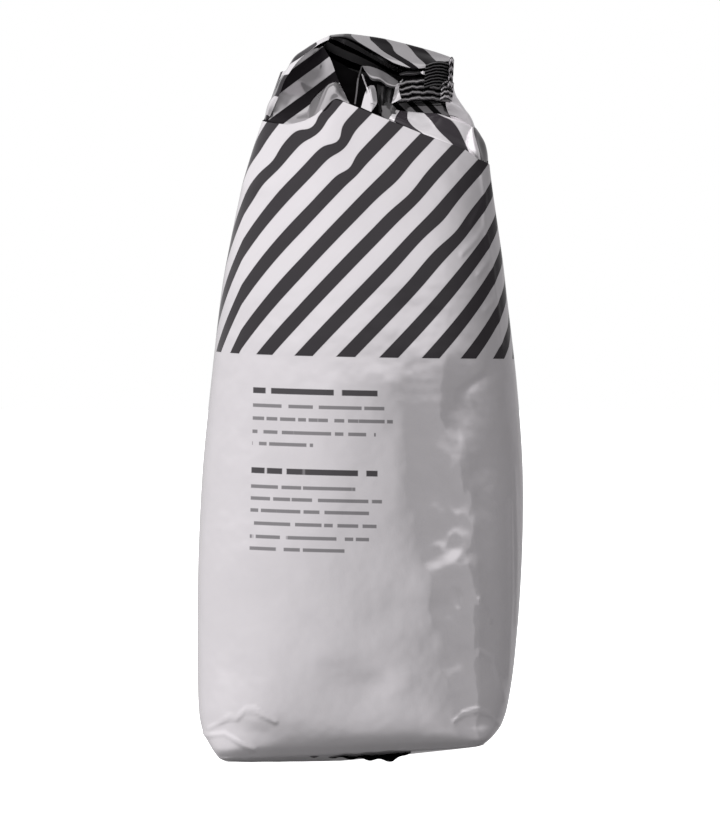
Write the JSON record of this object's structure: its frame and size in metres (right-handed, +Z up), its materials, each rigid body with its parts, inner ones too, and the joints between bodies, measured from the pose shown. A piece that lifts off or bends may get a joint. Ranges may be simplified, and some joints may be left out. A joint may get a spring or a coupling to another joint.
{
  "type": "coffee bag",
  "caption": "Filled side-gusset film bag for ground coffee, standing on its base, its gathered top folded over to the front and ending in a crimped seal.",
  "frame": {"origin": "centre of the bounding box's bottom face, on the surface that the bag stands on", "axes": "+Z up, -Y out of the front face, +X to the right as seen from the front"},
  "size_m": [0.0974, 0.073, 0.2158],
  "materials": {
    "film": "light grey satin barrier film; its upper part carries dark diagonal stripes"
  },
  "bodies": {
    "root": {"bag": "film"}
  },
  "joints": []
}
